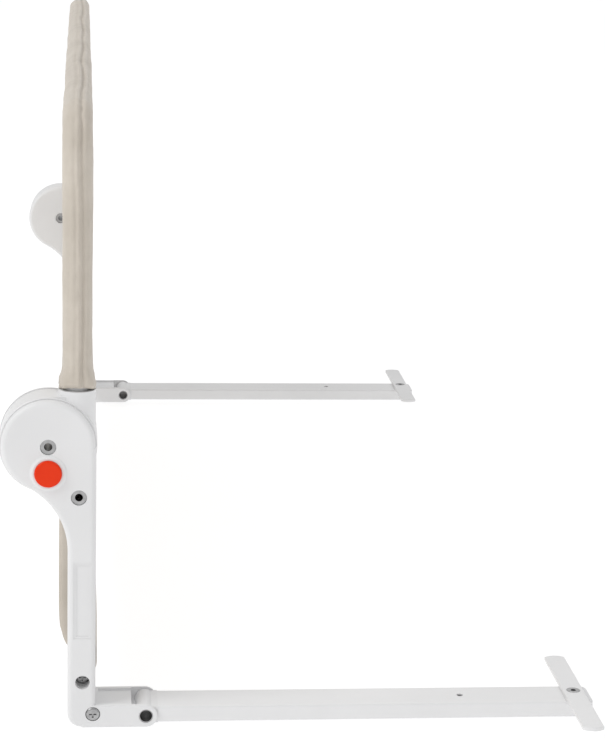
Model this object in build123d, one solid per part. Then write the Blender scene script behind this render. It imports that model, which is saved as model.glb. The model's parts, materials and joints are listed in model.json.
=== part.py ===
"""Swing-down bed guard rail: two hinge posts, folding under-mattress arms and a fabric-covered rail.

Millimetres.  +X points from the posts towards the bed, +Y runs along the rail, +Z is up.
The origin is at the middle of the footprint, on the plane that the arms rest on.
Every end part is drawn at the left end (-Y) and mirrored to the right end.
Across an end, depths are measured from the outer face of its outer cover, towards the middle.
"""
from build123d import *
from math import sqrt
import os

# Overall sizes
RAIL_LENGTH = 900.0          # between the outer faces of the two end posts
RAIL_TOP = 414.0             # top of the fabric above the resting plane
ARM_REACH = 337.0            # bed-side face of the post to the tip of the arm's end cap
CLEAR = 0.05                 # radial running clearance of pins, stems and tubes
FABRIC_GAP = 0.3             # fabric to the hard parts that it covers

# Hinge housing and post
HOUSING_DEPTH = 35.0
HOUSING_RADIUS = 31.0        # hinge axis to the bed-side face of the post
OUTER_RADIUS = 30.5
INNER_RADIUS = 32.0          # the housing widens a little towards the rail
HINGE_HEIGHT = 193.0
PLATE = 5.0                  # each cover's thickness beside the hinge hub
WALL = 2.0                   # cover wall elsewhere
POST_WIDTH = 18.5
NECK_RADIUS = 49.0           # hollow curve from the housing into the post
EDGE_ROUND = 3.4
TOE_ROUND = 9.0

# Foot bracket and arm hinge
PIN_REACH = 33.5             # bed-side face of the post to the arm pin
PIN_HEIGHT = 7.8
NOSE_RADIUS = 7.8
BRACKET_REACH = 24.0         # bed-side face of the post to the end of the solid bracket
EAR = 2.2
EAR_ROUND = 1.0
EAR_GAP = 0.3
PIN_RADIUS = 4.75
PIN_WALL = 0.7
TROUGH_DEPTH = 1.4

# Arm and foot plate
ARM_HEIGHT = 11.0
ARM_WALL = 1.2
ARM_ROUND = 1.6
HEEL_RADIUS = 6.6
KNUCKLE_INSERT = 22.0        # how far the knuckle plugs into the arm tube
ARM_HOLE_REACH = 247.0
ARM_HOLE_RADIUS = 2.2
PLATE_REACH = 325.5
PLATE_LENGTH = 133.0
PLATE_WIDTH = 14.5
PLATE_THICK = 2.4
PLATE_CROWN = 3.0            # how far the arced ends stand out beyond their corners
PLATE_CHAMFER = 0.5
PLATE_GAP = 0.2
FOOT_RIVET_RADIUS = 3.0
FOOT_RIVET_BORE = 1.8
FOOT_RIVET_HEAD = 4.7
FOOT_RIVET_FLANGE = 0.8
CAP_LENGTH = 6.0
CAP_PLUG_GAP = 1.0           # foot rivet to the cap's plug

# Hinge hub, its socket and the lock
HUB_GAP = 0.3                # hub face to each cover plate
HUB_EDGE = 0.4               # hub rim inside the inner cover's rim
HUB_ROOM = 0.8               # hub rim to the hollow that it turns in
SOCKET_TOP = 228.0
SOCKET_BED_GAP = 0.4         # socket wall inside the bed-side face of the post
SOCKET_FLOOR = 21.0          # tube's lower end above the hinge axis
STOP_GAP = 0.5
SWIVEL_RADIUS = 4.0
SWIVEL_BORE = 2.7
BUTTON_DROP = 17.3           # button axis below the hinge axis
BUTTON_RADIUS = 8.9
BUTTON_FIT = 0.1
BUTTON_OUT = 3.2
BUTTON_SKIRT = 2.0           # depth of the button's lower edge
BUTTON_TRAVEL = 4.2
WELL_WALL = 1.1
WELL_FLOOR = 7.6
WELL_BASE = 9.2
RING_RADIUS = 12.0
RING_OUT = 1.2
STEM_RADIUS = 2.0
COLLAR_RADIUS = 4.0
COLLAR_DEPTH = 12.8
COLLAR_THICK = 2.4
LOCK_DEPTH = 13.0
LOCK_THICK = 2.0
LOCK_SLOT_FIT = 0.25         # collar to each side of the slot that it travels in
LOCK_SEAT_FIT = 0.6          # collar to each round seat at the slot's ends
LOCK_EDGE = 0.4
TRACK_DEPTH = 20.0           # floor of the track that the pushed-in collar runs in
SPRING_RADIUS = 3.6
SPRING_WIRE = 0.5
SPRING_TURNS = 2.5

# Tubes
TUBE_RADIUS = 8.0
TUBE_WALL = 1.2
BEND_RADIUS = 17.0           # middle line of the corner elbow
ELBOW_LEG = 1.0              # elbow's straight end before each tube
SPIGOT_LENGTH = 22.0         # how far the elbow plugs into each tube
JOINER_LENGTH = 120.0
CROSS_SETBACK = 8.6          # bed-side face of the post to the lower cross tube's axis
CROSS_HEIGHT = 32.0
PLUG_LENGTH = 24.0
CORE_WIDTH = 12.0
CORE_DEPTH = 24.0
CORE_BOTTOM = 20.0
CORE_GAP = 0.2                # core to the wall around the hub
CORE_WALL = 1.5

# Fasteners
EYE_RADIUS = 5.2             # counterbore over each rivet
EYE_DEPTH = 2.0
RIVET_FLANGE = 0.8
RIVET_RADIUS = 3.2
RIVET_BORE = 2.6
RIVET_SETBACK = 11.2
RIVET_HEIGHT = 159.1
SLEEVE_RADIUS = 4.8
SLEEVE_WALL = 1.1
SLEEVE_DEPTH = 14.0
SCREW_RADIUS = 2.5
SCREW_HEAD = 4.7
SCREW_HEAD_HEIGHT = 2.6
SCREW_SETBACK = 1.7
SCREW_HEIGHT = 9.7
TUBE_SCREW_HEIGHT = 221.0
TUBE_SCREW_RADIUS = 1.5

# Label panel on the post
PANEL_LOW = 62.4
PANEL_HIGH = 114.7
PANEL_EDGE = 3.0
PANEL_WIDTH = 11.6
PANEL_RIM = 1.7
PANEL_STEP = 0.4

# Fabric
FABRIC = 1.3
COVER_MIDDLE_LOW = 200.0
COVER_CLEAR_OF_HOUSING = 2.0
SKIRT_TOP = 158.0
SKIRT_BULGE = 24.0           # bed-side face of the post to the skirt's outer side

# Places worked out from the sizes above
HALF = RAIL_LENGTH / 2
POST_FACE = (HOUSING_RADIUS + INNER_RADIUS - ARM_REACH) / 2
HINGE_X = POST_FACE - HOUSING_RADIUS
PIN_X = POST_FACE + PIN_REACH
SOCKET_RADIUS = (HOUSING_DEPTH - 2 * (PLATE + HUB_GAP)) / 2
TUBE_X = POST_FACE - SOCKET_BED_GAP - SOCKET_RADIUS
MID = HOUSING_DEPTH / 2
HUB_RADIUS = INNER_RADIUS - HUB_EDGE
HOLLOW_RADIUS = HUB_RADIUS + HUB_ROOM
BUTTON_Z = HINGE_HEIGHT - BUTTON_DROP
CROSS_X = POST_FACE - CROSS_SETBACK
RIVET_X = POST_FACE - RIVET_SETBACK
SCREW_X = POST_FACE - SCREW_SETBACK
CORE_X = POST_FACE - POST_WIDTH / 2
CORE_TOP = HINGE_HEIGHT - sqrt((HOLLOW_RADIUS + WALL + CORE_GAP) ** 2 - (CORE_X - CORE_WIDTH / 2 - HINGE_X) ** 2)
ARM_WIDTH = HOUSING_DEPTH - 2 * (EAR + EAR_GAP)
ARM_Z = PIN_HEIGHT
ARM_START = PIN_X + NOSE_RADIUS + EAR_GAP
ARM_END = POST_FACE + ARM_REACH - CAP_LENGTH
RIVET_SPOT = POST_FACE + PLATE_REACH
LOCK_HALF_WIDTH = BUTTON_RADIUS + BUTTON_FIT + WELL_WALL + LOCK_EDGE
SLEEVE_OUT = TUBE_RADIUS + FABRIC_GAP + FABRIC
TUBE_TOP = RAIL_TOP - SLEEVE_OUT
CUFF_LOW = SOCKET_TOP + FABRIC_GAP
ELBOW_LOW = TUBE_TOP - BEND_RADIUS - ELBOW_LEG
ELBOW_NEAR = MID - HALF + BEND_RADIUS + ELBOW_LEG


def across(depth):
    """Y of a depth measured from the left end's outer face."""
    return depth - HALF


def prism(face, near, far):
    """Extrude a face drawn in X and Z from one depth to another."""
    plane = Plane(origin=(0, across(near), 0), x_dir=(1, 0, 0), z_dir=(0, -1, 0))
    return extrude(plane * face, amount=-(far - near))


def disc(x, z, radius):
    return Pos(x, z) * Circle(radius)


def rect(x0, x1, z0, z1):
    return Pos((x0 + x1) / 2, (z0 + z1) / 2) * Rectangle(x1 - x0, z1 - z0)


def rod(x, z, radius, near, far):
    """Cylinder along Y."""
    return prism(disc(x, z, radius), near, far)


def block(x0, x1, near, far, z0, z1):
    """Box from one depth to another."""
    return prism(rect(x0, x1, z0, z1), near, far)


def arc_band(radius, half_width):
    """Half-ring with round ends on the outer side of the hinge axis, from below it to above it."""
    ring = disc(HINGE_X, HINGE_HEIGHT, radius + half_width) - disc(HINGE_X, HINGE_HEIGHT, radius - half_width)
    reach = radius + half_width
    band = ring & rect(HINGE_X - reach, HINGE_X, HINGE_HEIGHT - reach, HINGE_HEIGHT + reach)
    for side in (-1, 1):
        band += disc(HINGE_X, HINGE_HEIGHT + side * radius, half_width)
    return band


def post_outline(rim, inset):
    """Housing disc of radius rim, running down through a hollow curve into the straight post."""
    radius = rim - inset
    outer = POST_FACE - POST_WIDTH + inset
    bed = POST_FACE - inset
    neck = NECK_RADIUS + inset
    neck_x = outer - neck
    neck_z = HINGE_HEIGHT - sqrt((radius + neck) ** 2 - (HINGE_X - neck_x) ** 2)
    share = radius / (radius + neck)
    touch_x = HINGE_X + (neck_x - HINGE_X) * share
    touch_z = HINGE_HEIGHT + (neck_z - HINGE_HEIGHT) * share
    fill = make_face(Polyline((HINGE_X, HINGE_HEIGHT), (touch_x, touch_z), (neck_x, neck_z),
                              (outer, neck_z), (bed, neck_z), (bed, HINGE_HEIGHT), close=True))
    neck_fill = fill - disc(neck_x, neck_z, neck)
    housing = disc(HINGE_X, HINGE_HEIGHT, radius) & rect(HINGE_X - 2 * radius, bed, 0, RAIL_TOP)
    return housing + neck_fill + rect(outer, bed, inset, neck_z)


def toe_cutter():
    """What the round lower outer corner of the post leaves off."""
    corner = rect(POST_FACE - POST_WIDTH, POST_FACE - POST_WIDTH + TOE_ROUND, 0, TOE_ROUND)
    return corner - disc(POST_FACE - POST_WIDTH + TOE_ROUND, TOE_ROUND, TOE_ROUND)


def bracket_outline():
    """Foot bracket from the post to the round nose about the arm pin."""
    bar = rect(POST_FACE - POST_WIDTH / 2, PIN_X, 0, 2 * NOSE_RADIUS)
    return bar + disc(PIN_X, PIN_HEIGHT, NOSE_RADIUS)


def outer_edges(solid):
    """Edges that lie in the cover's outer face."""
    return solid.edges().filter_by_position(Axis.Y, across(0) - 0.01, across(0) + 0.01)


def cover_block(rim):
    """Solid half of the post with its rounded outer edge, before it is hollowed."""
    post = prism(post_outline(rim, 0) - toe_cutter(), 0, MID)
    post = fillet(outer_edges(post), EDGE_ROUND)
    bracket = prism(bracket_outline(), 0, MID)
    bracket = fillet(outer_edges(bracket), EAR_ROUND)
    return post + bracket


def hub_hollow():
    """Room between the covers for the hub, and for its socket when the rail hangs down."""
    room = disc(HINGE_X, HINGE_HEIGHT, HOLLOW_RADIUS)
    stop = TUBE_X + SOCKET_RADIUS
    hanging_x = 2 * HINGE_X - (TUBE_X - SOCKET_RADIUS) + STOP_GAP
    low = 2 * HINGE_HEIGHT - SOCKET_TOP - STOP_GAP
    room += rect(HINGE_X - 2 * HOUSING_RADIUS, hanging_x, low, HINGE_HEIGHT)
    room += rect(HINGE_X, stop + HOUSING_RADIUS, HINGE_HEIGHT, HINGE_HEIGHT + 2 * HOUSING_RADIUS)
    return prism(room, PLATE, MID)


def arm_slot():
    """Space between the ears for the arm, open towards the bed, and the shallow trough behind it."""
    slot = block(POST_FACE + BRACKET_REACH, PIN_X + 3 * NOSE_RADIUS, EAR, MID, -1, 3 * NOSE_RADIUS)
    top = 2 * NOSE_RADIUS
    trough = block(POST_FACE + WALL, POST_FACE + BRACKET_REACH, EAR + WALL, MID, top - TROUGH_DEPTH, top + 1)
    return slot + trough


def cover_shell(rim):
    """Half of the post, hollowed from the split plane, with bosses for its fasteners."""
    shell = cover_block(rim) - hub_hollow() - arm_slot()
    low = 2 * NOSE_RADIUS
    inside = post_outline(rim, WALL) - rect(POST_FACE - 99, POST_FACE + 9, -9, low + WALL)
    inside -= disc(HINGE_X, HINGE_HEIGHT, HOLLOW_RADIUS + WALL)
    shell -= prism(inside, WALL, MID)
    core_face = MID - CORE_DEPTH / 2
    shell += rod(RIVET_X, RIVET_HEIGHT, EYE_RADIUS + 1.0, WALL / 2, core_face)
    shell -= rod(RIVET_X, RIVET_HEIGHT, RIVET_RADIUS + CLEAR, -1, MID)
    shell -= rod(SCREW_X, SCREW_HEIGHT, SCREW_RADIUS + CLEAR, -1, MID)
    shell -= rod(HINGE_X, HINGE_HEIGHT, SWIVEL_RADIUS + CLEAR, -1, PLATE + 1)
    shell -= rod(PIN_X, PIN_HEIGHT, PIN_RADIUS + CLEAR, -1, EAR + 1)
    return shell


def eyes():
    """Counterbores over the hinge rivet and the post rivet."""
    return (rod(HINGE_X, HINGE_HEIGHT, EYE_RADIUS, -1, EYE_DEPTH)
            + rod(RIVET_X, RIVET_HEIGHT, EYE_RADIUS, -1, EYE_DEPTH))


def outer_cover():
    cover = cover_shell(OUTER_RADIUS) - eyes()
    ring = rod(HINGE_X, BUTTON_Z, RING_RADIUS, -RING_OUT, PLATE / 2)
    ring = chamfer(ring.edges().filter_by_position(Axis.Y, across(-RING_OUT) - 0.01, across(0) - 0.5),
                   RING_OUT * 0.8, RING_OUT * 1.6)
    well = rod(HINGE_X, BUTTON_Z, BUTTON_RADIUS + BUTTON_FIT + WELL_WALL, PLATE / 2, WELL_BASE)
    cover += ring + well
    cover -= rod(HINGE_X, BUTTON_Z, BUTTON_RADIUS + BUTTON_FIT, -9, WELL_FLOOR)
    cover -= rod(HINGE_X, BUTTON_Z, STEM_RADIUS + CLEAR, 0, WELL_BASE + 1)
    cover += rod(CROSS_X, CROSS_HEIGHT, SLEEVE_RADIUS + SLEEVE_WALL, WALL / 2, SLEEVE_DEPTH)
    cover -= rod(CROSS_X, CROSS_HEIGHT, SLEEVE_RADIUS, -1, SLEEVE_DEPTH - WALL)
    cover -= rod(CROSS_X, CROSS_HEIGHT, SCREW_RADIUS + CLEAR, 0, MID)
    cover -= rod(SCREW_X, SCREW_HEIGHT, SCREW_HEAD + 0.2, -1, SCREW_HEAD_HEIGHT * 0.8)
    bed = POST_FACE - PANEL_EDGE
    cover -= block(bed - PANEL_WIDTH, bed, -1, PANEL_STEP, PANEL_LOW, PANEL_HIGH)
    cover -= block(bed - PANEL_WIDTH + PANEL_RIM, bed - PANEL_RIM, -1, 2 * PANEL_STEP,
                   PANEL_LOW + PANEL_RIM, PANEL_HIGH - PANEL_RIM)
    return cover


def inner_cover():
    """The same shell turned to face the middle of the rail."""
    cover = cover_shell(INNER_RADIUS) - eyes()
    cover -= rod(CROSS_X, CROSS_HEIGHT, SCREW_RADIUS + CLEAR, -1, MID)
    return mirror(cover, about=Plane.XZ.offset(-across(MID)))


def post_core():
    """Steel box tube inside the post."""
    half = CORE_WIDTH / 2
    core = block(CORE_X - half, CORE_X + half, MID - CORE_DEPTH / 2, MID + CORE_DEPTH / 2, CORE_BOTTOM, CORE_TOP)
    hollow = block(CORE_X - half + CORE_WALL, CORE_X + half - CORE_WALL,
                   MID - CORE_DEPTH / 2 + CORE_WALL, MID + CORE_DEPTH / 2 - CORE_WALL, 0, CORE_TOP + 1)
    core -= hollow
    core -= rod(RIVET_X, RIVET_HEIGHT, RIVET_RADIUS + CLEAR, 0, HOUSING_DEPTH)
    core -= rod(CROSS_X, CROSS_HEIGHT, SLEEVE_RADIUS + SLEEVE_WALL + CLEAR, 0, MID)
    core -= rod(CROSS_X, CROSS_HEIGHT, SCREW_RADIUS + CLEAR, MID, HOUSING_DEPTH)
    return core


def tube_rivet(x, z, radius, bore):
    """Hollow rivet with a flange seated in each cover's counterbore."""
    near = EYE_DEPTH - RIVET_FLANGE
    far = HOUSING_DEPTH - near
    rivet = rod(x, z, radius, near, far)
    for start in (near, HOUSING_DEPTH - EYE_DEPTH):
        rivet += rod(x, z, EYE_RADIUS - 0.3, start, start + RIVET_FLANGE)
    return rivet - rod(x, z, bore, near - 1, far + 1)


def screw(x, z, head_depth, tip_depth):
    """Pan-head screw with a cross recess; its head stands outwards from head_depth."""
    head = rod(x, z, SCREW_HEAD, head_depth - SCREW_HEAD_HEIGHT, head_depth)
    rim = head.edges().filter_by_position(Axis.Y, across(head_depth - SCREW_HEAD_HEIGHT) - 0.01,
                                          across(head_depth - SCREW_HEAD_HEIGHT) + 0.01)
    head = fillet(rim, SCREW_HEAD_HEIGHT * 0.55)
    body = head + rod(x, z, SCREW_RADIUS, head_depth, tip_depth)
    top = head_depth - SCREW_HEAD_HEIGHT
    wing = SCREW_HEAD * 0.52
    slot = SCREW_HEAD * 0.11
    recess = prism(Pos(x, z) * (Rectangle(2 * wing, 2 * slot) + Rectangle(2 * slot, 2 * wing)), top - 1, top + 1.5)
    return body - recess


def cross_tube_screw():
    return screw(CROSS_X, CROSS_HEIGHT, SLEEVE_DEPTH - WALL, HOUSING_DEPTH + PLUG_LENGTH * 0.8)


def foot_screw():
    return screw(SCREW_X, SCREW_HEIGHT, SCREW_HEAD_HEIGHT * 0.8, HOUSING_DEPTH - WALL)


def arm_pin():
    """Tubular pin through both ears, with a web across its middle."""
    pin = rod(PIN_X, PIN_HEIGHT, PIN_RADIUS, WALL / 5, HOUSING_DEPTH - WALL / 5)
    for start in (-1, MID + WALL / 2):
        pin -= rod(PIN_X, PIN_HEIGHT, PIN_RADIUS - PIN_WALL, start, start + MID + 1 - WALL / 2)
    return pin


def release_button():
    cap = rod(HINGE_X, BUTTON_Z, BUTTON_RADIUS, -BUTTON_OUT, BUTTON_SKIRT)
    face = across(-BUTTON_OUT)
    cap = fillet(cap.edges().filter_by_position(Axis.Y, face - 0.01, face + 0.01), 1.3)
    return cap - rod(HINGE_X, BUTTON_Z, STEM_RADIUS, 0, BUTTON_SKIRT + 1)


def lock_plunger():
    stem = rod(HINGE_X, BUTTON_Z, STEM_RADIUS, 0, COLLAR_DEPTH)
    return stem + rod(HINGE_X, BUTTON_Z, COLLAR_RADIUS, COLLAR_DEPTH, COLLAR_DEPTH + COLLAR_THICK)


def button_spring():
    """Coil between the button's lower edge and the floor of its well."""
    room = WELL_FLOOR - BUTTON_SKIRT - SPRING_WIRE
    helix = Helix(pitch=room / SPRING_TURNS, height=room, radius=SPRING_RADIUS)
    start = helix @ 0
    wire = Plane(origin=start, z_dir=helix % 0) * Circle(SPRING_WIRE / 2 - 0.01)
    coil = sweep(wire, path=helix)
    seat = across(BUTTON_SKIRT + SPRING_WIRE / 2)
    return Pos(HINGE_X, seat, BUTTON_Z) * Rot(-90, 0, 0) * coil


def hinge_hub():
    """Disc between the covers with the socket that carries the rail's side tube."""
    near = PLATE + HUB_GAP
    far = HOUSING_DEPTH - near
    hub = rod(HINGE_X, HINGE_HEIGHT, HUB_RADIUS, near, far)
    hub = chamfer(hub.edges().filter_by(GeomType.CIRCLE), 0.5)
    tall = SOCKET_TOP - HINGE_HEIGHT
    socket = Pos(TUBE_X, across(MID), HINGE_HEIGHT + tall / 2) * Cylinder(SOCKET_RADIUS, tall)
    hub += socket
    hub += block(HINGE_X, TUBE_X, near + WALL, far - WALL, HINGE_HEIGHT, HINGE_HEIGHT + HUB_RADIUS)
    hub -= prism(arc_band(BUTTON_DROP, LOCK_HALF_WIDTH), near - 1, LOCK_DEPTH + LOCK_THICK)
    hub -= prism(arc_band(BUTTON_DROP, COLLAR_RADIUS + 0.6), LOCK_DEPTH, TRACK_DEPTH)
    hub -= rod(HINGE_X, HINGE_HEIGHT, SWIVEL_RADIUS + CLEAR, 0, HOUSING_DEPTH)
    floor = HINGE_HEIGHT + SOCKET_FLOOR
    bore = Pos(TUBE_X, across(MID), (floor + SOCKET_TOP) / 2 + 1) * Cylinder(TUBE_RADIUS + CLEAR,
                                                                         SOCKET_TOP - floor + 2)
    hub -= bore
    hub -= screw_hole()
    return hub


def screw_hole():
    """Hole for the small screw that holds the side tube in its socket, from the bed side."""
    return (Pos(TUBE_X + SOCKET_RADIUS / 2, across(MID), TUBE_SCREW_HEIGHT) * Rot(0, 90, 0)
            * Cylinder(TUBE_SCREW_RADIUS + CLEAR, SOCKET_RADIUS + 2))


def tube_screw():
    """Small countersunk screw through the socket into the side tube."""
    tip = TUBE_X + TUBE_RADIUS - TUBE_WALL - 1.5
    head = TUBE_X + SOCKET_RADIUS
    length = head - tip
    shank = Pos((head + tip) / 2, across(MID), TUBE_SCREW_HEIGHT) * Rot(0, 90, 0) * Cylinder(TUBE_SCREW_RADIUS, length)
    return shank


def lock_plate():
    """Steel plate in the hub: two round seats for the collar, joined by the slot that it travels in."""
    plate = arc_band(BUTTON_DROP, LOCK_HALF_WIDTH - CLEAR)
    plate -= arc_band(BUTTON_DROP, COLLAR_RADIUS + LOCK_SLOT_FIT)
    for side in (-1, 1):
        plate -= disc(HINGE_X, HINGE_HEIGHT + side * BUTTON_DROP, COLLAR_RADIUS + LOCK_SEAT_FIT)
    return prism(plate, LOCK_DEPTH, LOCK_DEPTH + LOCK_THICK)


def tube_ring(plane):
    """Section of the rail's steel tube."""
    return plane * (Circle(TUBE_RADIUS) - Circle(TUBE_RADIUS - TUBE_WALL))


def side_tube():
    """Upright steel tube from the hub's socket to the corner elbow."""
    low = HINGE_HEIGHT + SOCKET_FLOOR
    plane = Plane(origin=(TUBE_X, across(MID), low), z_dir=(0, 0, 1))
    tube = extrude(tube_ring(plane), amount=ELBOW_LOW - low)
    hole = (Pos(TUBE_X + TUBE_RADIUS, across(MID), TUBE_SCREW_HEIGHT) * Rot(0, 90, 0)
            * Cylinder(TUBE_SCREW_RADIUS + CLEAR, TUBE_RADIUS))
    return tube - hole


def top_tube():
    """Half of the rail's top, from the corner elbow to the middle."""
    plane = Plane(origin=(TUBE_X, ELBOW_NEAR, TUBE_TOP), z_dir=(0, 1, 0))
    tube = extrude(tube_ring(plane), amount=-ELBOW_NEAR)
    return tube - joiner_pin_at(JOINER_LENGTH / 4, CLEAR)


def corner_elbow():
    """Plastic elbow, as thick as the tubes between them and with a spigot inside each one."""
    side_y = across(MID)
    spigot = TUBE_RADIUS - TUBE_WALL - CLEAR
    low = Plane(origin=(TUBE_X, side_y, ELBOW_LOW), z_dir=(0, 0, 1))
    end = Plane(origin=(TUBE_X, ELBOW_NEAR, TUBE_TOP), z_dir=(0, 1, 0))
    path = FilletPolyline((TUBE_X, side_y, ELBOW_LOW), (TUBE_X, side_y, TUBE_TOP),
                          (TUBE_X, ELBOW_NEAR, TUBE_TOP), radius=BEND_RADIUS)
    elbow = sweep(low * Circle(TUBE_RADIUS), path=path)
    elbow += extrude(low * Circle(spigot), amount=-SPIGOT_LENGTH)
    elbow += extrude(end * Circle(spigot), amount=SPIGOT_LENGTH)
    return elbow


def joiner_pin_at(reach, extra):
    """Rivet through the top tube and the joiner, on the left of the middle."""
    return (Pos(TUBE_X, -reach, TUBE_TOP) * Cylinder(RIVET_RADIUS / 2 + extra, 2 * TUBE_RADIUS + 0.2 + 2 * extra))


def joiner():
    """Short inner tube that joins the two halves of the top tube."""
    core = Circle(TUBE_RADIUS - TUBE_WALL - CLEAR) - Circle(TUBE_RADIUS - 2 * TUBE_WALL - CLEAR)
    plane = Plane(origin=(TUBE_X, -JOINER_LENGTH / 2, TUBE_TOP), z_dir=(0, 1, 0))
    tube = extrude(plane * core, amount=JOINER_LENGTH)
    for side in (-1, 1):
        tube -= joiner_pin_at(side * JOINER_LENGTH / 4, CLEAR)
    return tube


def joiner_rivets():
    return Compound(children=[joiner_pin_at(side * JOINER_LENGTH / 4, 0) for side in (-1, 1)])


def cross_tube():
    """Straight tube between the two inner covers, near the floor."""
    near = HOUSING_DEPTH
    far = RAIL_LENGTH - near
    return (rod(CROSS_X, CROSS_HEIGHT, TUBE_RADIUS, near, far)
            - rod(CROSS_X, CROSS_HEIGHT, TUBE_RADIUS - TUBE_WALL, near, far))


def cross_plug():
    """Threaded plug in the end of the cross tube."""
    plug = rod(CROSS_X, CROSS_HEIGHT, TUBE_RADIUS - TUBE_WALL - CLEAR, HOUSING_DEPTH, HOUSING_DEPTH + PLUG_LENGTH)
    return plug - rod(CROSS_X, CROSS_HEIGHT, SCREW_RADIUS, HOUSING_DEPTH - 1, HOUSING_DEPTH + PLUG_LENGTH + 1)


def arm_section(width, height, corner):
    """Rounded rectangle across the arm, drawn at the start of the tube."""
    plane = Plane(origin=(ARM_START, across(MID), ARM_Z), x_dir=(0, 1, 0), z_dir=(1, 0, 0))
    return plane * RectangleRounded(width, height, corner)


def arm_tube():
    outer = arm_section(ARM_WIDTH, ARM_HEIGHT, ARM_ROUND)
    inner = arm_section(ARM_WIDTH - 2 * ARM_WALL, ARM_HEIGHT - 2 * ARM_WALL, ARM_ROUND / 2)
    tube = extrude(outer, amount=ARM_END - ARM_START) - extrude(inner, amount=ARM_END - ARM_START)
    top = ARM_Z + ARM_HEIGHT / 2
    tube -= Pos(POST_FACE + ARM_HOLE_REACH, across(MID), top) * Cylinder(ARM_HOLE_RADIUS, 3 * ARM_WALL)
    tube -= Pos(RIVET_SPOT, across(MID), ARM_Z) * Cylinder(FOOT_RIVET_RADIUS + CLEAR, 2 * ARM_HEIGHT)
    return tube


def arm_knuckle():
    """Plastic hinge end of the arm: an eye about the pin and a plug inside the tube."""
    near = EAR + EAR_GAP
    far = HOUSING_DEPTH - near
    half = ARM_HEIGHT / 2
    eye = rod(PIN_X, PIN_HEIGHT, HEEL_RADIUS, near, far)
    eye += block(PIN_X, ARM_START, near, far, ARM_Z - half, ARM_Z + half)
    plug = extrude(arm_section(ARM_WIDTH - 2 * ARM_WALL - 2 * CLEAR, ARM_HEIGHT - 2 * ARM_WALL - 2 * CLEAR,
                               ARM_ROUND / 2), amount=KNUCKLE_INSERT)
    return eye + plug - rod(PIN_X, PIN_HEIGHT, PIN_RADIUS + CLEAR, 0, HOUSING_DEPTH)


def arm_end_cap():
    """Plastic cap with a round nose and a plug inside the tube."""
    width = ARM_WIDTH
    nose = Pos(ARM_END, across(MID), ARM_Z) * Box(2 * CAP_LENGTH, width, ARM_HEIGHT)
    nose = fillet(nose.edges().filter_by(Axis.Z).group_by(Axis.X)[-1], CAP_LENGTH * 0.9)
    nose = fillet(nose.faces().sort_by(Axis.X)[-1].edges().filter_by(Axis.Y), ARM_ROUND)
    nose &= Pos(ARM_END + CAP_LENGTH / 2, across(MID), ARM_Z) * Box(CAP_LENGTH, 2 * width, 2 * ARM_HEIGHT)
    start = RIVET_SPOT + FOOT_RIVET_RADIUS + CAP_PLUG_GAP
    section = arm_section(width - 2 * ARM_WALL - 2 * CLEAR, ARM_HEIGHT - 2 * ARM_WALL - 2 * CLEAR, ARM_ROUND / 2)
    plug = Pos(start - ARM_START, 0, 0) * extrude(section, amount=ARM_END - start)
    return nose + plug


def foot_plate():
    """Flat strip on top of the arm's end, with gently arced ends and a sunk seat for the rivet's head."""
    low = ARM_Z + ARM_HEIGHT / 2 + PLATE_GAP
    spot = Pos(RIVET_SPOT, across(MID), low)
    half = PLATE_WIDTH / 2
    end_radius = (half ** 2 + PLATE_CROWN ** 2) / (2 * PLATE_CROWN)
    outline = Rectangle(PLATE_WIDTH, PLATE_LENGTH)
    for side in (-1, 1):
        outline -= Pos(0, side * PLATE_LENGTH / 2) * Rectangle(2 * PLATE_WIDTH, 2 * PLATE_CROWN)
        middle = side * (PLATE_LENGTH / 2 - end_radius)
        outline += (Pos(0, middle) * Circle(end_radius)) & (Pos(0, side * PLATE_LENGTH / 2)
                                                           * Rectangle(PLATE_WIDTH, 2.2 * PLATE_CROWN))
    strip = spot * extrude(outline, amount=PLATE_THICK)
    strip = chamfer(strip.faces().sort_by(Axis.Z)[-1].edges(), PLATE_CHAMFER)
    strip -= spot * Cylinder(FOOT_RIVET_RADIUS + CLEAR, 4 * PLATE_THICK)
    seat = spot * Pos(0, 0, PLATE_THICK) * Cylinder(FOOT_RIVET_HEAD + 2 * CLEAR, 2 * FOOT_RIVET_FLANGE)
    return strip - seat


def foot_rivet():
    """Hollow rivet through the arm; its head, nearly flush, holds the foot plate down."""
    seat = ARM_Z + ARM_HEIGHT / 2 + PLATE_GAP + PLATE_THICK - FOOT_RIVET_FLANGE
    top = seat + CLEAR + FOOT_RIVET_FLANGE
    low = ARM_Z - ARM_HEIGHT / 2 + ARM_WALL
    rivet = Pos(RIVET_SPOT, across(MID), (top + low) / 2) * Cylinder(FOOT_RIVET_RADIUS, top - low)
    rivet += Pos(RIVET_SPOT, across(MID), top - FOOT_RIVET_FLANGE / 2) * Cylinder(FOOT_RIVET_HEAD, FOOT_RIVET_FLANGE)
    return rivet - Pos(RIVET_SPOT, across(MID), top) * Cylinder(FOOT_RIVET_BORE, ARM_HEIGHT / 2)


def cover_profile(margin):
    """Rail cover seen from the bed: round upper corners, cuffs over the sockets, deeper in the middle."""
    edge = across(MID) - SLEEVE_OUT + margin
    top = RAIL_TOP - margin
    body = Pos(0, (top + CUFF_LOW + margin) / 2) * Rectangle(-2 * edge, top - CUFF_LOW - margin)
    corners = body.vertices().group_by(Axis.Y)[-1]
    body = fillet(corners, BEND_RADIUS + SLEEVE_OUT - margin)
    inner = across(HOUSING_DEPTH + COVER_CLEAR_OF_HOUSING) + margin
    low = COVER_MIDDLE_LOW + margin
    return body + Pos(0, (low + CUFF_LOW + 9) / 2) * Rectangle(-2 * inner, CUFF_LOW + 9 - low)


def facing(face, x0, x1):
    """Extrude a face drawn in Y and Z from one X to another."""
    plane = Plane(origin=(x0, 0, 0), x_dir=(0, 1, 0), z_dir=(1, 0, 0))
    return extrude(plane * face, amount=x1 - x0)


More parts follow.
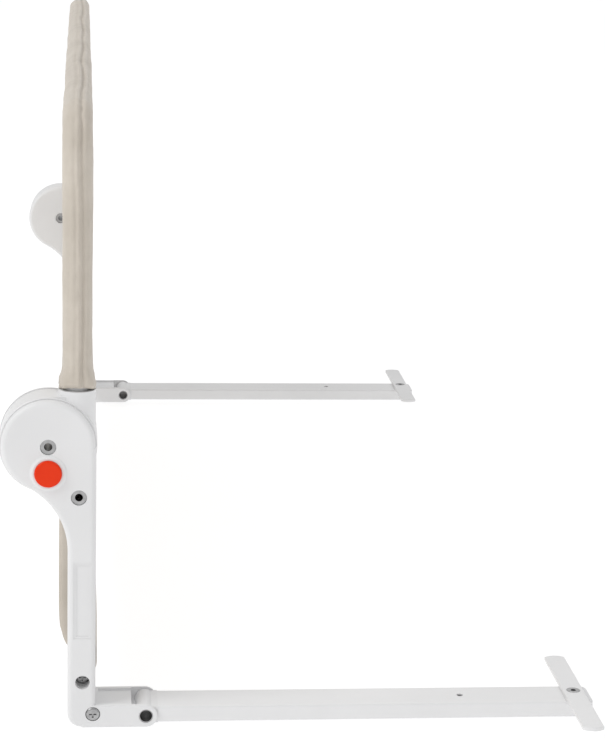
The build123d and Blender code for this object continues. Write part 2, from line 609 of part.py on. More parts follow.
def fabric_cover():
    """Pillowcase-like sleeve over the rail's tubes."""
    cover = facing(cover_profile(0), TUBE_X - SLEEVE_OUT, TUBE_X + SLEEVE_OUT)
    inside = TUBE_RADIUS + FABRIC_GAP
    cover -= facing(cover_profile(FABRIC), TUBE_X - inside, TUBE_X + inside)
    for side in (-1, 1):
        mouth = Pos(TUBE_X, -side * across(MID), CUFF_LOW) * Cylinder(inside, 20)
        cover -= mouth
    return cover


def skirt_section(inset):
    """Loop around the cross tube that rises, slack on the outside, to below the hinges."""
    wrap = TUBE_RADIUS + FABRIC_GAP + FABRIC
    outer = POST_FACE - SKIRT_BULGE
    spots = ((CROSS_X, CROSS_HEIGHT, wrap), (outer + 5, CROSS_HEIGHT + 40, 5),
             (outer + 5, SKIRT_TOP - 45, 5), (CROSS_X - 4, SKIRT_TOP - 3, 3))
    edges = [Pos(x, z) * Edge.make_circle(radius - inset) for x, z, radius in spots]
    return make_hull(edges)


def fabric_skirt():
    """Lower part of the cover, looped around the cross tube between the posts."""
    near = HOUSING_DEPTH + COVER_CLEAR_OF_HOUSING
    far = RAIL_LENGTH - near
    return prism(skirt_section(0), near, far) - prism(skirt_section(FABRIC), near, far)


END_PARTS = {
    "outer_cover": outer_cover,
    "inner_cover": inner_cover,
    "post_core": post_core,
    "hinge_rivet": lambda: tube_rivet(HINGE_X, HINGE_HEIGHT, SWIVEL_RADIUS, SWIVEL_BORE),
    "post_rivet": lambda: tube_rivet(RIVET_X, RIVET_HEIGHT, RIVET_RADIUS, RIVET_BORE),
    "cross_tube_screw": cross_tube_screw,
    "foot_screw": foot_screw,
    "arm_pin": arm_pin,
    "release_button": release_button,
    "lock_plunger": lock_plunger,
    "button_spring": button_spring,
    "hinge_hub": hinge_hub,
    "lock_plate": lock_plate,
    "tube_screw": tube_screw,
    "side_tube": side_tube,
    "corner_elbow": corner_elbow,
    "top_tube": top_tube,
    "cross_tube_plug": cross_plug,
    "arm_tube": arm_tube,
    "arm_knuckle": arm_knuckle,
    "arm_end_cap": arm_end_cap,
    "foot_plate": foot_plate,
    "foot_rivet": foot_rivet,
}
MIDDLE_PARTS = {
    "rail_joiner": joiner,
    "joiner_rivets": joiner_rivets,
    "lower_cross_tube": cross_tube,
    "fabric_cover": fabric_cover,
    "fabric_skirt": fabric_skirt,
}

os.makedirs("parts", exist_ok=True)
for name, make in END_PARTS.items():
    left = make()
    export_step(left, f"parts/left_{name}.step")
    export_step(mirror(left, about=Plane.XZ), f"parts/right_{name}.step")
for name, make in MIDDLE_PARTS.items():
    export_step(make(), f"parts/{name}.step")
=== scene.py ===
"""Looks of the swing-down bed guard rail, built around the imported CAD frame.  Metres, +Z up."""
import json
import math

import bmesh
import bpy
from mathutils import Matrix, Vector, noise


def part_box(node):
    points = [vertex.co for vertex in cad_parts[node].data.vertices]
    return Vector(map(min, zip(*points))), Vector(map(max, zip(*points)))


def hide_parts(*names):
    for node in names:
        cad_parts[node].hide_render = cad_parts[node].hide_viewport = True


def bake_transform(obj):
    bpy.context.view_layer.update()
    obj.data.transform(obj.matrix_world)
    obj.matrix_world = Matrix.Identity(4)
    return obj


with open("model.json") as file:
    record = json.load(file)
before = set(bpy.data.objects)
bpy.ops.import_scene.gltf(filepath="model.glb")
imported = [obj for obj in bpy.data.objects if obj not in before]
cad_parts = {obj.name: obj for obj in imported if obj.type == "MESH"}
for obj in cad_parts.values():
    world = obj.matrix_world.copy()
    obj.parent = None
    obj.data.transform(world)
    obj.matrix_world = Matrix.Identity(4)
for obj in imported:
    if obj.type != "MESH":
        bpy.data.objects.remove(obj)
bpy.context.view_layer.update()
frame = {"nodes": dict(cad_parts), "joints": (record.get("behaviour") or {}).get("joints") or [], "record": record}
MM = 0.001


# ---------------------------------------------------------------- places taken from the frame
def joint_place(name):
    for joint in frame["joints"]:
        if joint["name"] == name:
            return Vector(joint["pos_m"])
    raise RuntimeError(f"no joint {name}")


HINGE = joint_place("rail_swing")
cover_low, cover_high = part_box("fabric_cover")
skirt_low, skirt_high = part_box("fabric_skirt")
cross_low, cross_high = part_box("lower_cross_tube")
hub_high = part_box("left_hinge_hub")[1]
TUBE_X = (cover_low.x + cover_high.x) / 2
SLEEVE = (cover_high.x - cover_low.x) / 2
TOP = cover_high.z
HALF_LENGTH = cover_high.y
MIDDLE_HALF = skirt_high.y
HEM_GAP = 0.3 * MM
CUFF_LOW = hub_high.z + HEM_GAP
CROSS = Vector(((cross_low.x + cross_high.x) / 2, 0, (cross_low.z + cross_high.z) / 2))


# ---------------------------------------------------------------- materials
class Shader:
    """A principled material and short calls for the nodes that feed it."""

    def __init__(self, name):
        self.material = bpy.data.materials.new(name)
        self.material.use_nodes = True
        self.tree = self.material.node_tree
        self.surface = self.tree.nodes["Principled BSDF"]
        self.place = self.add("ShaderNodeTexCoord").outputs["Object"]

    def add(self, kind, **settings):
        node = self.tree.nodes.new(kind)
        for key, value in settings.items():
            setattr(node, key, value)
        return node

    def join(self, source, target):
        self.tree.links.new(source, target)

    def set(self, **values):
        for key, value in values.items():
            self.surface.inputs[key.replace("_", " ")].default_value = value
        return self

    def noise(self, scale, detail=3.0, roughness=0.55):
        node = self.add("ShaderNodeTexNoise")
        node.inputs["Scale"].default_value = scale
        node.inputs["Detail"].default_value = detail
        node.inputs["Roughness"].default_value = roughness
        self.join(self.place, node.inputs["Vector"])
        return node.outputs["Fac"]

    def ramp(self, value, low, high, start=0.3, end=0.7):
        node = self.add("ShaderNodeValToRGB")
        node.color_ramp.elements[0].position = start
        node.color_ramp.elements[1].position = end
        node.color_ramp.elements[0].color = (*low, 1.0)
        node.color_ramp.elements[1].color = (*high, 1.0)
        self.join(value, node.inputs["Fac"])
        return node.outputs["Color"]

    def span(self, value, low, high):
        node = self.add("ShaderNodeMapRange")
        node.inputs["To Min"].default_value = low
        node.inputs["To Max"].default_value = high
        self.join(value, node.inputs["Value"])
        return node.outputs["Result"]

    def math(self, operation, first, second):
        node = self.add("ShaderNodeMath", operation=operation)
        for socket, value in zip(node.inputs, (first, second)):
            if isinstance(value, float):
                socket.default_value = value
            else:
                self.join(value, socket)
        return node.outputs["Value"]

    def bump(self, height, strength, distance, after=None):
        node = self.add("ShaderNodeBump")
        node.inputs["Strength"].default_value = strength
        node.inputs["Distance"].default_value = distance
        self.join(height, node.inputs["Height"])
        if after is not None:
            self.join(after, node.inputs["Normal"])
        return node.outputs["Normal"]

    def finish(self, colour=None, roughness=None, normal=None):
        if colour is not None:
            self.join(colour, self.surface.inputs["Base Color"])
        if roughness is not None:
            self.join(roughness, self.surface.inputs["Roughness"])
        if normal is not None:
            self.join(normal, self.surface.inputs["Normal"])
        return self.material


def moulded_plastic(name, dark, light, rough_low, rough_high, grain):
    s = Shader(name)
    s.set(Specular_IOR_Level=0.45)
    colour = s.ramp(s.noise(22.0), dark, light)
    fine = s.bump(s.noise(grain, 4.0, 0.7), 0.12, 0.00006)
    broad = s.bump(s.noise(90.0, 2.0), 0.05, 0.0002, fine)
    return s.finish(colour, s.span(s.noise(160.0), rough_low, rough_high), broad)


def powder_coat(name, dark, light):
    s = Shader(name)
    s.set(Specular_IOR_Level=0.5, Coat_Weight=0.12, Coat_Roughness=0.3)
    colour = s.ramp(s.noise(18.0), dark, light)
    peel = s.bump(s.noise(900.0, 2.0, 0.4), 0.16, 0.00008)
    return s.finish(colour, s.span(s.noise(240.0), 0.3, 0.42), peel)


def plated_steel(name, dark, light, rough_low, rough_high):
    s = Shader(name)
    s.set(Metallic=1.0)
    colour = s.ramp(s.noise(350.0), dark, light)
    scratch = s.bump(s.noise(2600.0, 3.0, 0.7), 0.15, 0.00004)
    return s.finish(colour, s.span(s.noise(500.0), rough_low, rough_high), scratch)


def glossy_plastic(name, dark, light):
    s = Shader(name)
    s.set(Specular_IOR_Level=0.15)
    colour = s.ramp(s.noise(60.0), dark, light)
    return s.finish(colour, s.span(s.noise(300.0), 0.26, 0.36), s.bump(s.noise(1400.0), 0.06, 0.00005))


def threads(s, axis_a, axis_b, pitch):
    """Height of a plain weave: two sets of parallel threads that pass over and under each other."""
    split = s.add("ShaderNodeSeparateXYZ")
    s.join(s.place, split.inputs["Vector"])
    turns = 2 * math.pi / pitch

    def wave(socket, shift):
        scaled = s.math("MULTIPLY", split.outputs[socket], turns)
        return s.math("SINE", s.math("ADD", scaled, shift), 0.0)

    return s.math("MULTIPLY", wave(axis_a, 0.0), wave(axis_b, math.pi / 2))


def woven_cloth(name, dark, light, pitch):
    s = Shader(name)
    s.set(Sheen_Weight=0.25, Sheen_Roughness=0.45, Specular_IOR_Level=0.25)
    weave = s.math("ADD", threads(s, "Y", "Z", pitch), threads(s, "X", "Z", pitch))
    tone = s.math("ADD", s.math("MULTIPLY", weave, 0.05), s.noise(35.0, 5.0, 0.6))
    colour = s.ramp(tone, dark, light, 0.25, 0.75)
    fuzz = s.bump(s.noise(1800.0, 4.0, 0.75), 0.25, 0.00015)
    return s.finish(colour, s.span(s.noise(400.0), 0.82, 0.95), s.bump(weave, 0.35, 0.00012, fuzz))


def knitted_mesh(name, shaded_hole, thread, size):
    """Warp-knit net drawn in Y and Z: the threads have their own colour, the middles of the cells are painted dark
    as painted shade for the shadowed inside of the cover seen through the holes, and the cells show as relief.
    """
    s = Shader(name)
    s.set(Sheen_Weight=0.2, Specular_IOR_Level=0.25)
    cells = s.add("ShaderNodeTexVoronoi", feature="F1")
    cells.inputs["Scale"].default_value = 1.0 / size
    cells.inputs["Randomness"].default_value = 0.12
    flat = s.add("ShaderNodeVectorMath", operation="MULTIPLY_ADD")
    flat.inputs[1].default_value = (0.0, 1.0, 1.0)
    flat.inputs[2].default_value = (size / 2, 0.0, 0.0)
    s.join(s.place, flat.inputs[0])
    s.join(flat.outputs["Vector"], cells.inputs["Vector"])
    # Painted shade: the middles of the cells, where the holes are, take the dark first colour in place of the
    # shade seen through them; the rest is the threads' own colour.
    colour = s.ramp(cells.outputs["Distance"], shaded_hole, thread, 0.26, 0.38)
    raised = s.bump(cells.outputs["Distance"], 0.6, 0.0004)
    return s.finish(colour, s.span(s.noise(500.0), 0.8, 0.95), raised)


SHADERS = {
    "white_shell": moulded_plastic("white_shell_plastic", (0.755, 0.755, 0.76), (0.785, 0.785, 0.79),
                                   0.42, 0.5, 1500.0),
    "orange_button": glossy_plastic("orange_button_plastic", (0.76, 0.032, 0.004), (0.81, 0.042, 0.006)),
    "white_paint": powder_coat("white_powder_coat", (0.765, 0.765, 0.77), (0.80, 0.80, 0.805)),
    "zinc_steel": plated_steel("zinc_plated_steel", (0.34, 0.34, 0.345), (0.46, 0.46, 0.46), 0.28, 0.42),
    "spring_steel": plated_steel("spring_steel_wire", (0.25, 0.25, 0.26), (0.38, 0.38, 0.39), 0.25, 0.35),
    "frame_tube": powder_coat("rail_tube_coat", (0.72, 0.72, 0.72), (0.76, 0.76, 0.76)),
    "nylon": moulded_plastic("natural_nylon", (0.62, 0.6, 0.55), (0.68, 0.66, 0.6), 0.45, 0.55, 900.0),
    "beige_fabric": woven_cloth("beige_woven_cloth", (0.52, 0.47, 0.405), (0.63, 0.575, 0.505), 1.0 * MM),
}
# The first colour is painted shade for the holes in the net; the second is the threads' own beige.
MESH_CLOTH = knitted_mesh("beige_knitted_mesh", (0.24, 0.21, 0.18), (0.62, 0.57, 0.5), 2.4 * MM)
BINDING = woven_cloth("binding_tape", (0.55, 0.495, 0.43), (0.66, 0.605, 0.535), 0.8 * MM)

for part in frame["record"]["subparts"]:
    node = frame["nodes"][part["node"]]
    node.data.materials.clear()
    node.data.materials.append(SHADERS[part["material_slot"]])


# ---------------------------------------------------------------- mesh helpers
def new_piece(name, vertices, faces, material):
    mesh = bpy.data.meshes.new(name)
    mesh.from_pydata([tuple(v) for v in vertices], [], faces)
    mesh.materials.append(material)
    piece = bpy.data.objects.new(name, mesh)
    bpy.context.scene.collection.objects.link(piece)
    mesh.polygons.foreach_set("use_smooth", [True] * len(mesh.polygons))
    return piece


def clean(piece):
    """Merges the strips' shared edges and turns every face the same way, outwards."""
    work = bmesh.new()
    work.from_mesh(piece.data)
    bmesh.ops.remove_doubles(work, verts=work.verts, dist=0.02 * MM)
    bmesh.ops.recalc_face_normals(work, faces=work.faces)
    work.to_mesh(piece.data)
    work.free()


def steps(first, last, spacing):
    """Evenly spaced values from first to last, about spacing apart."""
    count = max(1, round(abs(last - first) / spacing))
    return [first + (last - first) * i / count for i in range(count + 1)]


def soft_step(value, low, high):
    t = min(1.0, max(0.0, (value - low) / (high - low)))
    return t * t * (3 - 2 * t)


def hill(value, low, high, edge):
    """1 between low and high, falling smoothly to 0 over edge outside them."""
    return soft_step(value, low - edge, low) * (1 - soft_step(value, high, high + edge))


# ---------------------------------------------------------------- the sewn cover
CLOTH = 1.1 * MM
ALONG = 2.4 * MM                         # mesh spacing down the sleeve
ACROSS = 5.0 * MM                        # mesh spacing along the rail
LOOP = 6.0 * MM                          # mesh spacing down the loop between the posts
ROLL_STEPS = 40                          # faces round the outside of the sleeve
CORNER = 17.0 * MM                       # bend of the tube under the cloth
CORNER_STEPS = 14
AXIS_Y = HALF_LENGTH - SLEEVE
AXIS_Z = TOP - SLEEVE
INNER_Y = AXIS_Y - CORNER
INNER_Z = AXIS_Z - CORNER
HEM_LIFT = 2.6 * MM                      # how much higher the hem is in the middle of the sleeve's outer side
HEM_EASE = 24.0 * MM                     # height over which the lift dies out
CUFF_FLARE = 2.3 * MM
CUFF_LENGTH = 15.0 * MM
WINDOW_Y = 372.0 * MM
WINDOW_LOW = CUFF_LOW + 26.0 * MM
WINDOW_HIGH = INNER_Z - 10.0 * MM
WINDOW_CORNER = 22.0 * MM
BINDING_WIDTH = 9.0 * MM
WRAP = skirt_high.x - CROSS.x            # cloth's radius round the cross tube
OUTER = skirt_low.x                      # outermost place of the loop
LOOP_SWELL = 120 * MM                    # height over which the outer layer leans out below the cuff
KNEE_RISE = 42 * MM                      # outer layer's last straight place, above the cross tube
TOE_RISE = 12 * MM                       # where it comes back beside the cross tube
TOE_PULL = 6 * MM
KNEE_STEPS = 8
WRAP_STEPS = 12
END_SHARES = (0.0, 0.1, 0.3, 0.5, 0.7, 0.9, 1.0)

# Unevenness and folds of the slack cloth
LUMP_SIZE = 60 * MM
LUMP = 0.45 * MM
DIMPLE_SIZE = 22 * MM
DIMPLE = 0.2 * MM
SLACK_LOW = 150 * MM
SLACK_HIGH = 205 * MM
SLACK_EDGE = 45 * MM
SLACK_END = 25 * MM
FOLD_SPACING = 31 * MM
FOLD_DRIFT = 2.2
FOLD_DRIFT_SIZE = 170 * MM
FOLD_HEIGHT = 1.5 * MM
FOLD_CHANGE = 1.0 * MM
FOLD_CHANGE_SIZE = 120 * MM

# Upper panels
PANEL_DRAWN_IN = 1.4 * MM
PANEL_EVENNESS = 0.8
PANEL_WAVE_SIZE = 150 * MM
PANEL_LOW = CUFF_LOW + 30 * MM
PANEL_HIGH = INNER_Z - 25 * MM
PANEL_EDGE = 30 * MM
PANEL_END_FAR = INNER_Y - 75 * MM
PANEL_END_NEAR = INNER_Y - 40 * MM
BINDING_RISE = 0.45 * MM
BINDING_EDGE = 1.5 * MM
GATHER_RISE = 0.25 * MM
GATHER_WIDTH = 3 * MM
GATHER_SPACING = 13 * MM

# Sleeve: ridges as height in mm, then place and width in shares of the sleeve's radius
SEAM = (-1.5, 0.34, 0.10)
SEAM_LIPS = ((0.5, 0.62, 0.16), (0.5, 0.06, 0.14))
SECOND_CREASE = (-0.7, -0.16, 0.09)
OUTER_CREASE = (-0.3, -0.62, 0.14)
OUTER_WANDER = 1.5
WANDER = 0.07
WANDER_LENGTH = 37 * MM
RIPPLE_WANDER = 0.06
RIPPLE_WANDER_SIZE = 30 * MM
PULL = 0.75
PULL_CHANGE = 0.6
PULL_SIZE = 60 * MM
SECOND_PULL = 1.4
CORNER_DROP = 12 * MM
CORNER_SPREAD = 15 * MM
CORNER_START = INNER_Y - 10 * MM
PUCKER_SPACING = 9.5 * MM
PUCKER_LEAN = 2
PUCKER_PLACE = 0.1
PUCKER_SPREAD = 0.5
PUCKER = 0.16
CORNER_PUCKER = 0.85
CORNER_BULGE = 1.2
CORNER_BULGE_START = 0.2
FULL_EDGE = 2                            # how quickly the creases come in past the tube's axis

# Cuff
FLARE_START = 2 * MM
GATHERS = 7                              # folds round the cuff; their twists are in radians per metre
GATHER_TWIST = 140
FINE_GATHERS = 11
FINE_GATHER_TWIST = 420
FINE_GATHER = 0.6
CUFF_GATHER = 0.3 * MM
CUFF_GATHER_SHARE = 0.3
CUFF_CREASE = 0.35 * MM
CUFF_CREASE_SPACING = 5.5 * MM
CUFF_CREASE_MIDDLE = 9 * MM
CUFF_CREASE_SPREAD = 8 * MM
CUFF_CREASE_LEAN = 1.5
CUFF_LINE = 0.5 * MM
CUFF_LINE_RISE = 2 * MM
CUFF_LINE_WIDTH = 2.5 * MM
CUFF_EASE = 6 * MM
END_BULGE = 1.2 * MM
END_BULGE_WIDTH = 9 * MM


def ripple(place, size, seed):
    return noise.noise(Vector((place[0] / size + seed, place[1] / size, place[2] / size)))


def bell(value, middle, width):
    return math.exp(-((value - middle) / width) ** 2)


def outline_stations():
    """Places along the tube from the left cuff to the right cuff: axis point and way outwards."""
    heights = steps(CUFF_LOW, INNER_Z, ALONG)
    ends = steps(-INNER_Y, -MIDDLE_HALF, ACROSS)[:-1]
    widths = ends + steps(-MIDDLE_HALF, MIDDLE_HALF, ACROSS) + [-y for y in ends[::-1]]
    stations = [(-AXIS_Y, z, -1.0, 0.0) for z in heights]
    for i in range(1, CORNER_STEPS):
        a = math.pi / 2 * i / CORNER_STEPS
        cos, sin = math.cos(a), math.sin(a)
        stations.append((-INNER_Y - CORNER * cos, INNER_Z + CORNER * sin, -cos, sin))
    left = list(stations)
    stations += [(y, AXIS_Z, 0.0, 1.0) for y in widths]
    return stations + [(-y, z, -oy, oz) for y, z, oy, oz in left[::-1]], heights, widths


def sleeve_point(station, angle, inwards):
    """Cloth round the tube, from angle -pi/2 (outer side) to pi/2 (bed side), or inwards of the tube."""
    y, z, out_y, out_z = station
    out = SLEEVE * math.cos(angle) - inwards
    place = Vector((TUBE_X + SLEEVE * math.sin(angle), y + out * out_y, z + out * out_z))
    if abs(out_y) == 1.0:
        lift = HEM_LIFT * max(0.0, math.cos(angle)) ** 1.5
        place.z += lift * (1 - soft_step(z, CUFF_LOW, CUFF_LOW + HEM_EASE))
    return place


def loop_layers():
    """The loop in section: outer layer down to the cross tube, the wrap under it and inner layer up."""
    knee = CROSS.z + KNEE_RISE
    start = TUBE_X - SLEEVE
    outer = []
    for z in steps(CUFF_LOW, knee, LOOP):
        outer.append((start + (OUTER - start) * soft_step(CUFF_LOW - z, 0.0, LOOP_SWELL), z))
    low = CROSS.z + TOE_RISE
    for i in range(1, KNEE_STEPS + 1):
        t = i / KNEE_STEPS
        x = (1 - t * t) * OUTER + t * t * (CROSS.x - WRAP)
        outer.append((x, (1 - t) ** 2 * knee + 2 * (1 - t) * t * (low + TOE_PULL) + t * t * low))
    wrap = [(CROSS.x - WRAP, CROSS.z)]
    for i in range(1, WRAP_STEPS):
        a = math.pi * i / WRAP_STEPS
        wrap.append((CROSS.x - WRAP * math.cos(a), CROSS.z - WRAP * math.sin(a)))
    wrap.append((CROSS.x + WRAP, CROSS.z))
    inner = []
    for x, z in outer[::-1]:
        share = soft_step(z, CROSS.z, CUFF_LOW)
        inner.append((CROSS.x + WRAP + (TUBE_X + SLEEVE - CROSS.x - WRAP) * share, z))
    return outer, wrap, inner


def cover_mesh():
    """All the cloth as one surface: sleeve round the tube, both upper panels and the loop below them."""
    vertices = []
    faces = []

    def strip(rows):
        start = len(vertices)
        width = len(rows[0])
        for row in rows:
            vertices.extend(row)
        for r in range(len(rows) - 1):
            for c in range(width - 1):
                a = start + r * width + c
                faces.append((a, a + 1, a + width + 1, a + width))

    stations, heights, widths = outline_stations()
    legs = steps(CORNER, 0.0, ACROSS)[:-1]
    section = [(-math.pi / 2, leg) for leg in legs]
    section += [(-math.pi / 2 + math.pi * i / ROLL_STEPS, 0.0) for i in range(ROLL_STEPS + 1)]
    section += [(math.pi / 2, leg) for leg in legs[::-1]]
    strip([[sleeve_point(s, angle, inwards) for angle, inwards in section] for s in stations])
    for side in (-1, 1):
        x = TUBE_X + side * SLEEVE
        strip([[Vector((x, y, z)) for z in heights] for y in widths])
    outer, wrap, inner = loop_layers()
    middle = [y for y in widths if abs(y) <= MIDDLE_HALF + 0.01 * MM]
    strip([[Vector((x, y, z)) for x, z in outer + wrap + inner] for y in middle])
    # sewn ends of the loop
    for y in (middle[0], middle[-1]):
        rows = []
        for (x0, z0), (x1, _) in zip(outer, inner[::-1]):
            rows.append([Vector((x0 + (x1 - x0) * t, y, z0)) for t in END_SHARES])
        strip(rows)
    return vertices, faces


def window_gap(p):
    """Distance outside the rounded window of knitted mesh, negative inside it."""
    over_y = abs(p.y) - (WINDOW_Y - WINDOW_CORNER)
    over_z = max(p.z - (WINDOW_HIGH - WINDOW_CORNER), (WINDOW_LOW + WINDOW_CORNER) - p.z)
    return math.hypot(max(0.0, over_y), max(0.0, over_z)) + min(0.0, max(over_y, over_z)) - WINDOW_CORNER


def slack_move(p, side):
    """Soft folds along the rail where the cover bends at the hinges, and slight unevenness all over."""
    move = LUMP * ripple(p, LUMP_SIZE, 3.0 * side) + DIMPLE * ripple(p, DIMPLE_SIZE, 7.0 * side)
    slack = hill(p.z, SLACK_LOW, SLACK_HIGH, SLACK_EDGE) * (1 - hill(abs(p.y), MIDDLE_HALF, 1.0, SLACK_END))
    drift = FOLD_DRIFT * ripple((0, p.y, 0), FOLD_DRIFT_SIZE, 5.0 * side)
    fold = math.sin(2 * math.pi * p.z / FOLD_SPACING + drift + side)
    height = FOLD_HEIGHT + FOLD_CHANGE * ripple((0, p.y, p.z), FOLD_CHANGE_SIZE, 9.0)
    return move + slack * height * fold


def panel_move(p):
    """Upper panels: drawn in a little between the tubes, with a raised binding round the window."""
    inside = hill(p.z, PANEL_LOW, PANEL_HIGH, PANEL_EDGE)
    inside *= 1 - soft_step(abs(p.y), PANEL_END_FAR, PANEL_END_NEAR)
    gap = window_gap(p)
    move = -PANEL_DRAWN_IN * inside * (PANEL_EVENNESS + ripple((0, p.y, p.z), PANEL_WAVE_SIZE, 2.0))
    move += BINDING_RISE * hill(gap, 0.0, BINDING_WIDTH, BINDING_EDGE)
    gather = math.sin(2 * math.pi * (p.y + p.z) / GATHER_SPACING)
    return move + GATHER_RISE * bell(gap, -GATHER_WIDTH, GATHER_WIDTH) * gather


def ridge(across, shape, wander):
    height, middle, width = shape
    return height * bell(across, middle + wander, width)


def seam_move(p, edge):
    """Sleeve: a long crease and a seam down its outer middle, with puckers that gather at the top corners."""
    across = (p.x - TUBE_X) / SLEEVE
    along = p.z if p.z < INNER_Z else abs(p.y)
    wander = WANDER * math.sin(along / WANDER_LENGTH)
    wander += RIPPLE_WANDER * ripple((0, along, 0), RIPPLE_WANDER_SIZE, 1.0)
    pull = PULL + PULL_CHANGE * ripple((0, along, 0), PULL_SIZE, 4.0)
    move = ridge(across, SEAM, wander) * pull
    move += sum(ridge(across, lip, wander) for lip in SEAM_LIPS)
    move += ridge(across, SECOND_CREASE, wander) * (SECOND_PULL - pull)
    move += ridge(across, OUTER_CREASE, OUTER_WANDER * wander)
    corner = bell(p.z, TOP - CORNER_DROP, CORNER_SPREAD) * soft_step(abs(p.y), CORNER_START, AXIS_Y)
    pucker = math.sin(2 * math.pi * along / PUCKER_SPACING + PUCKER_LEAN * across)
    pucker *= bell(across, PUCKER_PLACE, PUCKER_SPREAD)
    move += (PUCKER + CORNER_PUCKER * corner) * pucker
    move += CORNER_BULGE * corner * (abs(across) - CORNER_BULGE_START)
    return move * MM * edge


def cuff_move(p):
    """The cuffs flare onto the sockets in small gathered folds, with a drawn-in line above them."""
    rise = p.z - CUFF_LOW
    flare = 1 - soft_step(rise, FLARE_START, CUFF_LENGTH)
    turn = math.atan2(p.x - TUBE_X, abs(p.y) - AXIS_Y)
    gather = math.sin(GATHERS * turn + GATHER_TWIST * p.z)
    gather += FINE_GATHER * math.sin(FINE_GATHERS * turn - FINE_GATHER_TWIST * p.z)
    crease = math.sin(2 * math.pi * rise / CUFF_CREASE_SPACING + CUFF_CREASE_LEAN * math.sin(2 * turn))
    move = CUFF_FLARE * flare + CUFF_GATHER * gather * (CUFF_GATHER_SHARE + flare)
    move += CUFF_CREASE * crease * bell(rise, CUFF_CREASE_MIDDLE, CUFF_CREASE_SPREAD)
    return move - CUFF_LINE * bell(rise, CUFF_LENGTH + CUFF_LINE_RISE, CUFF_LINE_WIDTH)


def crumple(piece):
    """Moves the cloth along its normals, each region in its own way."""
    mesh = piece.data
    places = [v.co.copy() for v in mesh.vertices]
    normals = [v.normal.copy() for v in mesh.vertices]
    for v, p, n in zip(mesh.vertices, places, normals):
        move = slack_move(p, 1.0 if p.x > TUBE_X else -1.0)
        edge = max(abs(p.y) - AXIS_Y, p.z - AXIS_Z) / SLEEVE
        if p.z > CUFF_LOW - 0.1 * MM:
            move += panel_move(p)
            if edge > 0.0:
                move += seam_move(p, min(1.0, FULL_EDGE * edge))
            if abs(p.y) > INNER_Y:
                move += cuff_move(p) * soft_step(abs(p.y), INNER_Y, INNER_Y + CUFF_EASE)
        elif abs(n.y) > 0.7:
            move = END_BULGE * bell(p.x, (OUTER + CROSS.x) / 2, END_BULGE_WIDTH)
        v.co = p + n * move
    mesh.update()


def bend_with_rail(piece):
    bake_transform(piece)


def build_cover():
    vertices, faces = cover_mesh()
    cover = new_piece("sewn_cover", vertices, faces, SHADERS["beige_fabric"])
    clean(cover)
    cover.data.materials.append(MESH_CLOTH)
    cover.data.materials.append(BINDING)
    for face in cover.data.polygons:
        gap = window_gap(face.center)
        if abs(face.normal.x) > 0.7 and gap < BINDING_WIDTH:
            face.material_index = 1 if gap < 0.0 else 2
    crumple(cover)
    thicken = cover.modifiers.new("cloth", "SOLIDIFY")
    thicken.thickness = CLOTH
    thicken.offset = -1.0
    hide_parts("fabric_cover", "fabric_skirt")
    bend_with_rail(cover)


build_cover()


# ---------------------------------------------------------------- stage, light and camera
FLOOR_SIZE = 30.0
FLOOR_DROP = 0.2 * MM
FLOOR_GLOW = 0.72
SKY_STRENGTH = 0.8
LIGHT_AIM = Vector((0, 0, 0.2))
CAMERA_FROM_HINGE = Vector((20.8 * MM, -1846.7 * MM, 390.0 * MM))
CAMERA_PITCH = math.radians(13.52)
CAMERA_YAW = math.radians(5.804)
CAMERA_ROLL = math.radians(-1.534)
LENS = 109.4
SENSOR = 36.0
SIGHT = 50.0


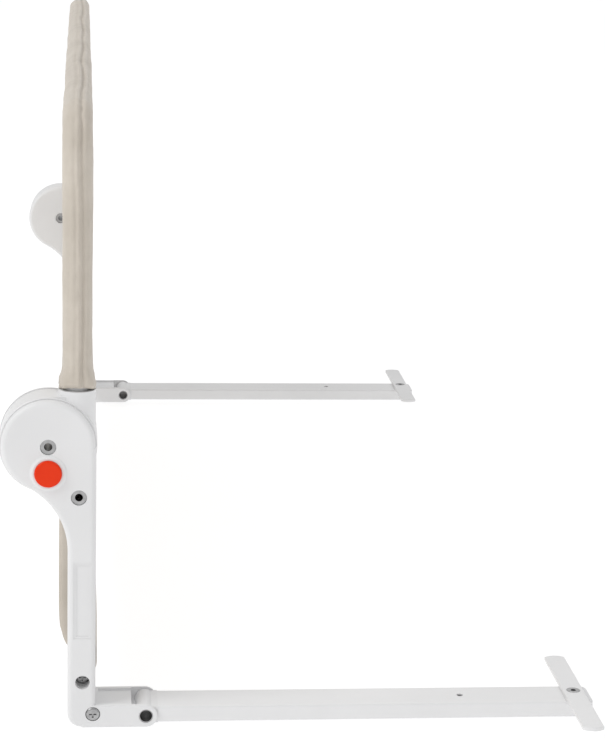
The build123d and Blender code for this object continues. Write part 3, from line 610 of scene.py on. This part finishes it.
def studio():
    bpy.ops.mesh.primitive_plane_add(size=FLOOR_SIZE, location=(0, 0, -FLOOR_DROP))
    floor = bpy.context.object
    floor.name = "studio_floor"
    s = Shader("studio_white")
    s.set(Specular_IOR_Level=0.0, Roughness=0.9)
    s.set(Emission_Color=(1.0, 1.0, 1.0, 1.0), Emission_Strength=FLOOR_GLOW)
    s.finish(s.ramp(s.noise(0.8), (0.4, 0.4, 0.4), (0.42, 0.42, 0.42)))
    floor.data.materials.append(s.material)
    world = bpy.data.worlds.new("studio_world")
    world.use_nodes = True
    tree = world.node_tree
    place = tree.nodes.new("ShaderNodeTexCoord")
    split = tree.nodes.new("ShaderNodeSeparateXYZ")
    ramp = tree.nodes.new("ShaderNodeValToRGB")
    ramp.color_ramp.elements[0].color = (0.62, 0.62, 0.62, 1.0)
    ramp.color_ramp.elements[1].color = (1.0, 1.0, 1.0, 1.0)
    tree.links.new(place.outputs["Generated"], split.inputs["Vector"])
    tree.links.new(split.outputs["Z"], ramp.inputs["Fac"])
    tree.links.new(ramp.outputs["Color"], tree.nodes["Background"].inputs["Color"])
    tree.nodes["Background"].inputs["Strength"].default_value = SKY_STRENGTH
    bpy.context.scene.world = world
    bpy.context.scene.view_settings.view_transform = "Standard"


def soft_light(name, place, size, power):
    data = bpy.data.lights.new(name, "AREA")
    data.shape = "SQUARE"
    data.size = size
    data.energy = power
    light = bpy.data.objects.new(name, data)
    light.location = place
    light.rotation_euler = (LIGHT_AIM - Vector(place)).to_track_quat("-Z", "Y").to_euler()
    bpy.context.scene.collection.objects.link(light)


def place_camera():
    """Looks along the rail from beyond its left end and a little above it."""
    level = math.cos(CAMERA_PITCH)
    forward = Vector((math.sin(CAMERA_YAW) * level, math.cos(CAMERA_YAW) * level, -math.sin(CAMERA_PITCH)))
    right = Vector((math.cos(CAMERA_YAW), -math.sin(CAMERA_YAW), 0.0))
    down = forward.cross(right)
    turned_right = right * math.cos(CAMERA_ROLL) + down * math.sin(CAMERA_ROLL)
    turned_down = down * math.cos(CAMERA_ROLL) - right * math.sin(CAMERA_ROLL)
    data = bpy.data.cameras.new("camera")
    data.lens = LENS
    data.sensor_width = SENSOR
    data.clip_end = SIGHT
    camera = bpy.data.objects.new("camera", data)
    axes = Matrix((turned_right, -turned_down, -forward)).transposed()
    camera.matrix_world = Matrix.Translation(HINGE + CAMERA_FROM_HINGE) @ axes.to_4x4()
    bpy.context.scene.collection.objects.link(camera)
    bpy.context.scene.camera = camera


studio()
soft_light("key", place=(-2.2, -1.3, 2.2), size=1.2, power=32.0)
soft_light("fill", place=(2.2, -1.6, 1.6), size=2.0, power=3.0)
soft_light("back", place=(0.2, 2.4, 2.2), size=1.6, power=10.0)
place_camera()
